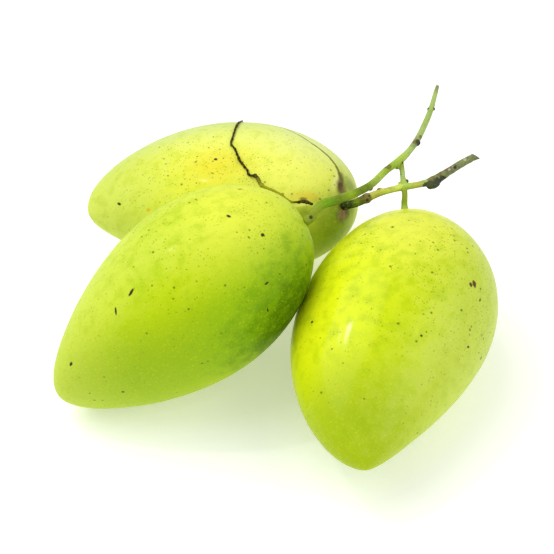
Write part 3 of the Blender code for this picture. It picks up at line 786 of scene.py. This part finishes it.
def lump_into(bm, centre, along, length, thickness):
    turn = Vector(along).to_track_quat("Z", "Y").to_matrix().to_4x4()
    shape = Matrix.Diagonal((thickness / 2, thickness / 2, length / 2, 1))
    place = Matrix.Translation(centre) @ turn @ shape
    bmesh.ops.create_uvsphere(bm, u_segments=16, v_segments=12, radius=1, matrix=place)


def nearest_sample(samples, point):
    return int(np.argmin(np.linalg.norm(samples[:, :3] - np.array(point), axis=1)))


def fused(name, bm, voxel, smoothing):
    """One skin round everything in bm: a fine voxel remesh, then a light smoothing."""
    source = bpy.data.meshes.new(name + "_parts")
    bm.to_mesh(source)
    bm.free()
    holder = bpy.data.objects.new(name + "_parts", source)
    bpy.context.scene.collection.objects.link(holder)
    remesh = holder.modifiers.new("remesh", "REMESH")
    remesh.mode = "VOXEL"
    remesh.voxel_size = voxel
    smooth = holder.modifiers.new("smooth", "SMOOTH")
    smooth.factor = 0.5
    smooth.iterations = smoothing
    bpy.context.view_layer.update()
    evaluated = holder.evaluated_get(bpy.context.evaluated_depsgraph_get())
    mesh = bpy.data.meshes.new_from_object(evaluated)
    mesh.name = name
    bpy.data.objects.remove(holder, do_unlink=True)
    bpy.data.meshes.remove(source)
    return mesh


def around_route(points, samples):
    """For each point: the nearest sample, the turn round the route there, and the way out."""
    tree = kdtree.KDTree(len(samples))
    for index, sample in enumerate(samples):
        tree.insert(Vector(sample[:3]), index)
    tree.balance()
    nearest = np.array([tree.find(Vector(point))[1] for point in points])
    forward = directions(samples)[nearest]
    offset = points - samples[nearest, :3]
    offset -= (offset * forward).sum(1, keepdims=True) * forward
    out = offset / np.maximum(np.linalg.norm(offset, axis=1, keepdims=True), 1e-6)
    up = np.array((0.2, -0.1, 1.0))
    side = np.cross(forward, up)
    side /= np.linalg.norm(side, axis=1, keepdims=True)
    top = np.cross(side, forward)
    turn = np.arctan2((out * side).sum(1), (out * top).sum(1))
    return nearest, turn, out


def near(points, spots):
    """How close each point is to the nearest of the spots (x, y, z, radius): 1 at it, 0 away."""
    share = np.zeros(len(points))
    for x, y, z, radius in spots:
        distance = np.linalg.norm(points - np.array((x, y, z)), axis=1)
        share = np.maximum(share, smooth_step(distance, radius * 1.25, radius * 0.45))
    return share


def store(mesh, name, values):
    attribute = mesh.attributes.new(name, "FLOAT", "POINT")
    attribute.data.foreach_set("value", values.astype(np.float32))


def slant_off(mesh):
    """Cuts the woody end off at its slant, and gives the cut face the second material."""
    centre, facing = SLANT_CUT
    bm = bmesh.new()
    bm.from_mesh(mesh)
    woody_end = {vert for vert in bm.verts if (vert.co - Vector(centre)).length < CUT_REACH}
    edges = [edge for edge in bm.edges if woody_end.issuperset(edge.verts)]
    faces = [face for face in bm.faces if woody_end.issuperset(face.verts)]
    cut = bmesh.ops.bisect_plane(bm, geom=list(woody_end) + edges + faces, dist=1e-4, plane_co=centre,
                                 plane_no=facing, clear_outer=True)
    rim = [item for item in cut["geom_cut"] if isinstance(item, bmesh.types.BMEdge)]
    for face in bmesh.ops.edgenet_fill(bm, edges=rim)["faces"]:
        face.material_index = 1
    bmesh.ops.recalc_face_normals(bm, faces=bm.faces)
    bm.to_mesh(mesh)
    bm.free()


def stalk_seat(name, thickness):
    """The first points of a stalk: inside the cavity, then straight out."""
    mango = MANGOES[name]
    off_skin, at_skin = thickness
    stem, (_, _, outward) = skin_spot(mango, *mango.stem_at)
    place = place_matrix(mango)
    points = []
    for distance, size in ((STALK_GAP - CAVITY_DEPTH, at_skin),
                           (SEAT_ROUND - CAVITY_DEPTH, at_skin * SEAT_SWELLING),
                           (SEAT_LENGTH, off_skin)):
        spot = place @ Vector((stem + outward * distance) * MM) / MM
        points.append((*spot, size))
    return points


def shades_along(samples, shades):
    """A colour for each sample of a route, blended between the colours of its points."""
    place = np.arange(len(samples)) / ROUTE_STEPS
    keys = [key for key, _ in shades]
    channels = [np.interp(place, keys, [colour[k] for _, colour in shades]) for k in range(4)]
    return np.stack(channels, axis=1)


def stalk_bodies():
    """The three stalks and their lumps in one skin, and the samples and colours of their routes."""
    left = smooth_route(stalk_seat("fruit_left", LEFT_SEAT) + LEFT_STALK, ROUTE_STEPS)
    right = smooth_route(stalk_seat("fruit_right", RIGHT_SEAT) + RIGHT_STALK, ROUTE_STEPS)
    back = smooth_route(stalk_seat("fruit_back", BACK_SEAT) + BACK_STALK, ROUTE_STEPS)
    bm = bmesh.new()
    for route in (left, right, back):
        tube_into(bm, route, STALK_SIDES)
    samples = np.vstack([left, right, back])
    ahead = directions(samples)
    for x, y, z, length, thickness in BUMPS:
        lump_into(bm, (x, y, z), ahead[nearest_sample(samples, (x, y, z))], length, thickness)
    shades = np.vstack([shades_along(left, LEFT_SHADES), shades_along(right, RIGHT_SHADES),
                        shades_along(back, BACK_SHADES)])
    return fused("stalk", bm, STALK_VOXEL, 4), samples, shades


def cut_rim(points):
    """1 on the plane of the slanted cut at the woody end, falling to 0 a little way off it."""
    centre, facing = SLANT_CUT
    offset = points - np.array(centre)
    from_cut = np.abs(offset @ np.array(Vector(facing).normalized()))
    at_end = np.linalg.norm(offset, axis=1) < CUT_REACH
    return at_end * smooth_step(-from_cut, -CUT_RIM, 0)


def build_stalk():
    mesh, samples, shades = stalk_bodies()
    points = get_points(mesh)
    nearest, turn, out = around_route(points, samples)
    woody = smooth_step(samples[nearest, 0], WOOD_STARTS, WOOD_FULL)
    woody *= samples[nearest, 1] < LEFT_STALK_FROM
    dark = np.maximum(near(points, DARK_SPOTS), CUT_RIM_STRENGTH * cut_rim(points))
    brown = near(points, BROWN_SPOTS)
    # painted shade: 1 on a stalk's underside, turned from the sky, and 0 on its top
    painted_shade_below = smooth_step(-np.cos(turn), -0.55, 0.75)
    ribs = np.cos(RIBS * turn + 2.5 * waves(points, 9.0, 2))
    lumps = waves(points, 1.3, 3)
    grain = waves(points, 0.7, 4)
    height = GREEN_RIBS * ribs + GREEN_LUMPS * lumps
    height += woody * (WOOD_RIBS * ribs + WOOD_LUMPS * lumps + WOOD_GRAIN * grain)
    height += np.maximum(dark, brown) * (SPOT_LUMPS * lumps + SPOT_GRAIN * grain)
    set_points(mesh, points + out * height[:, None])

    store(mesh, "woody", woody)
    store(mesh, "dark", dark)
    store(mesh, "brown", brown)
    store(mesh, "pale", near(points, PALE_SPOTS))
    # the bark colours darkened as painted shade on the undersides and in the grooves between the ribs
    tints_with_painted_shade = shades[nearest] * (1 - PAINTED_UNDERSIDE_SHADE * painted_shade_below - PAINTED_GROOVE_SHADE * (ribs < -0.3))[:, None]
    shade = mesh.attributes.new("shade", "FLOAT_COLOR", "POINT")
    shade.data.foreach_set("color", tints_with_painted_shade.astype(np.float32).ravel())

    slant_off(mesh)
    set_points(mesh, get_points(mesh) * MM)
    mesh.shade_smooth()
    mesh.set_sharp_from_angle(angle=math.radians(SHARP_EDGE))
    mesh.materials.append(stalk_material())
    mesh.materials.append(cut_material())
    return new_piece("stalk_bark", mesh, "stalk")


def attribute(tree, name):
    return add_node(tree, "ShaderNodeAttribute", attribute_name=name).outputs["Fac"]


def stalk_material():
    material, tree, shader = new_material("stalk_bark")
    point = millimetres(tree)
    middle = noise_value(tree, point, 1.0, 3.0)
    fine = noise_value(tree, point, 4.0, 3.0)
    stain = noise_value(tree, point, 0.35, 3.0, 0.6)
    # the bark colours from the mesh, with the painted shade, shadow and light they carry
    colour = add_node(tree, "ShaderNodeAttribute", attribute_name="shade").outputs["Color"]
    colour = layer(tree, colour, ramp(tree, middle, 0.5, 0.8), 0.3, BARK_PALE)
    colour = layer(tree, colour, ramp(tree, stain, 0.52, 0.7), 0.3, OLIVE)
    colour = layer(tree, colour, dots(tree, point, BARK_SPECKS), BARK_SPECKS.share, BARK_SPECKS.colour)

    wood = mix(tree, ramp(tree, middle, 0.4, 0.7), WOOD_GREY, WOOD_DARK)
    wood = mix(tree, ramp(tree, fine, 0.55, 0.8), wood, WOOD_PALE)
    edge = maths(tree, "MULTIPLY", maths(tree, "SUBTRACT", middle, 0.5), 0.8)
    for name, start, full, amount, over in (("woody", 0.25, 0.75, 0.72, wood),
                                            ("brown", 0.3, 0.8, 0.8, BARK_BROWN),
                                            ("pale", 0.4, 0.9, 0.8, BARK_CREAM),
                                            ("dark", 0.3, 0.8, 0.9, BARK_DARK)):
        share = ramp(tree, maths(tree, "ADD", attribute(tree, name), edge), start, full)
        colour = layer(tree, colour, share, amount, over)

    rough = maths(tree, "ADD", maths(tree, "MULTIPLY", fine, 0.25), 0.45)
    height = maths(tree, "ADD", maths(tree, "MULTIPLY", fine, 0.5), maths(tree, "MULTIPLY", middle, 0.5))
    dress(tree, shader, colour, rough, 0.1, height, BUMP_STRENGTH, BUMP_DEPTH)
    return material


def cut_material():
    """The dried wood where the stalk was cut."""
    material, tree, shader = new_material("stalk_cut")
    point = millimetres(tree)
    middle = noise_value(tree, point, 1.2, 4.0, 0.6)
    fine = noise_value(tree, point, 5.0, 3.0)
    colour = mix(tree, ramp(tree, middle, 0.35, 0.65), CUT_TAN, CUT_BROWN)
    colour = mix(tree, ramp(tree, fine, 0.6, 0.8), colour, CUT_PALE)
    dress(tree, shader, colour, 0.75, 0.2, middle, 0.6, 0.3)
    return material


def midpoints_added(points):
    longer = [points[0]]
    for before, after in zip(points, points[1:]):
        longer.append(tuple((a + b) / 2 for a, b in zip(before, after)))
        longer.append(after)
    return longer


def knob_into(bm, sample, ahead, index):
    """A knob of the dry shoot, a little off its middle; size and side vary with the index."""
    x, y, z, diameter = sample
    size = 0.5 + 0.5 * math.sin(index * 2.4)
    aside = Matrix.Rotation(index * 1.7, 3, ahead) @ ahead.orthogonal().normalized()
    place = Vector((x, y, z)) + aside * diameter * KNOB_OFFSET
    lump_into(bm, place, ahead, 1.0 + 1.2 * size, diameter * (1.1 + 0.55 * size))


def build_shoot():
    mango = MANGOES["fruit_back"]
    place = place_matrix(mango)
    route = list(SHOOT_START)
    for s, phi, diameter in midpoints_added(SHOOT_ON_SKIN):
        spot, (_, _, outward) = skin_spot(mango, s, phi)
        spot = place @ Vector((spot + outward * (diameter / 2 + SHOOT_GAP)) * MM) / MM
        route.append((*spot, diameter))
    samples = smooth_route(route, SHOOT_STEPS)
    places, shares = zip(*SHOOT_SHARES)
    samples[:, 3] *= np.interp(np.linspace(0, 1, len(samples)), places, shares)
    bm = bmesh.new()
    tube_into(bm, samples, SHOOT_SIDES)
    ahead = directions(samples)
    for index in range(FIRST_KNOB, len(samples), KNOB_SPACING):
        knob_into(bm, samples[index], Vector(ahead[index]), index)
    mesh = fused("dry_shoot", bm, SHOOT_VOXEL, 2)
    points = get_points(mesh)
    nearest, turn, out = around_route(points, samples)
    height = (SHOOT_LUMPS * waves(points, 0.9, 6) + SHOOT_GRAIN * waves(points, 0.45, 8)
              + SHOOT_RIBS * np.cos(6 * turn + 4 * waves(points, 4.0, 7)))
    set_points(mesh, (points + out * height[:, None]) * MM)
    store(mesh, "along", nearest / (len(samples) - 1))
    mesh.shade_smooth()
    mesh.materials.append(shoot_material())
    return new_piece("dry_shoot_bark", mesh, "dry_shoot")


def shoot_material():
    material, tree, shader = new_material("dry_shoot_bark")
    point = millimetres(tree)
    middle = noise_value(tree, point, 0.8, 3.0)
    fine = noise_value(tree, point, 3.5, 3.0)
    along = maths(tree, "ADD", attribute(tree, "along"), maths(tree, "MULTIPLY", middle, 0.06))
    rising = maths(tree, "MULTIPLY", ramp(tree, along, 0.1, 0.18), ramp(tree, along, 0.36, 0.28))
    colour = mix(tree, ramp(tree, middle, 0.4, 0.6), SHOOT_OLIVE, SHOOT_DARK)
    colour = layer(tree, colour, ramp(tree, fine, 0.52, 0.72), 0.6, SHOOT_TAN)
    colour = layer(tree, colour, rising, 0.85, SHOOT_GREEN)
    colour = layer(tree, colour, ramp(tree, along, 0.99, 1.02), 0.8, SHOOT_TIP)
    dress(tree, shader, colour, 0.7, 0.1, fine, 0.8, 0.2)
    return material


# Studio

def add_camera():
    data = bpy.data.cameras.new("camera")
    data.sensor_fit = "HORIZONTAL"
    data.sensor_width = SENSOR_WIDTH
    data.lens = SENSOR_WIDTH * FOCAL_PIXELS / IMAGE_SIZE
    data.clip_start = 0.01
    data.clip_end = 20
    camera = bpy.data.objects.new("camera", data)
    elevation = math.radians(CAMERA_ELEVATION)
    back = Vector((0, -math.cos(elevation), math.sin(elevation)))
    camera.location = (Vector(CAMERA_TARGET) + back * CAMERA_DISTANCE) * MM
    camera.rotation_euler = (math.pi / 2 - elevation, 0, 0)
    bpy.context.scene.collection.objects.link(camera)
    bpy.context.scene.camera = camera


def add_lamp(name, lamp):
    """A lamp that looks back at the bunch."""
    data = bpy.data.lights.new(name, "AREA")
    data.shape = "ELLIPSE"
    data.size, data.size_y = lamp.size
    data.energy = lamp.power
    light = bpy.data.objects.new(name, data)
    way = Vector(lamp.direction).normalized()
    across = Vector((1, 0, 0))
    across = (across - way * across.dot(way)).normalized()
    turn = Matrix((across, way.cross(across), way)).transposed()
    light.location = way * lamp.distance + Vector((0, 0, LAMP_TARGET_HEIGHT))
    light.rotation_euler = turn.to_euler()
    bpy.context.scene.collection.objects.link(light)


def add_floor():
    mesh = bpy.data.meshes.new("floor")
    bm = bmesh.new()
    bmesh.ops.create_grid(bm, x_segments=1, y_segments=1, size=FLOOR_HALF)
    bm.to_mesh(mesh)
    bm.free()
    material, _, shader = new_material("floor")
    shader.inputs["Base Color"].default_value = (FLOOR_WHITE, FLOOR_WHITE, FLOOR_WHITE, 1)
    shader.inputs["Emission Color"].default_value = (1, 1, 1, 1)
    shader.inputs["Emission Strength"].default_value = FLOOR_GLOW
    shader.inputs["Roughness"].default_value = 0.9
    shader.inputs["Specular IOR Level"].default_value = 0.1
    mesh.materials.append(material)
    floor = bpy.data.objects.new("floor", mesh)
    bpy.context.scene.collection.objects.link(floor)


def add_studio():
    add_floor()
    world = bpy.data.worlds.new("studio")
    world.use_nodes = True
    world.node_tree.nodes["Background"].inputs["Color"].default_value = (1, 1, 1, 1)
    world.node_tree.nodes["Background"].inputs["Strength"].default_value = SKY_STRENGTH
    bpy.context.scene.world = world
    bpy.context.scene.view_settings.view_transform = "Standard"
    for name, lamp in LAMPS.items():
        add_lamp(name, lamp)


def main():
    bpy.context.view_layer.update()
    add_camera()
    for name, mango in MANGOES.items():
        build_skin(name, mango)
    build_stalk()
    build_shoot()
    add_studio()
    bpy.context.view_layer.update()


main()
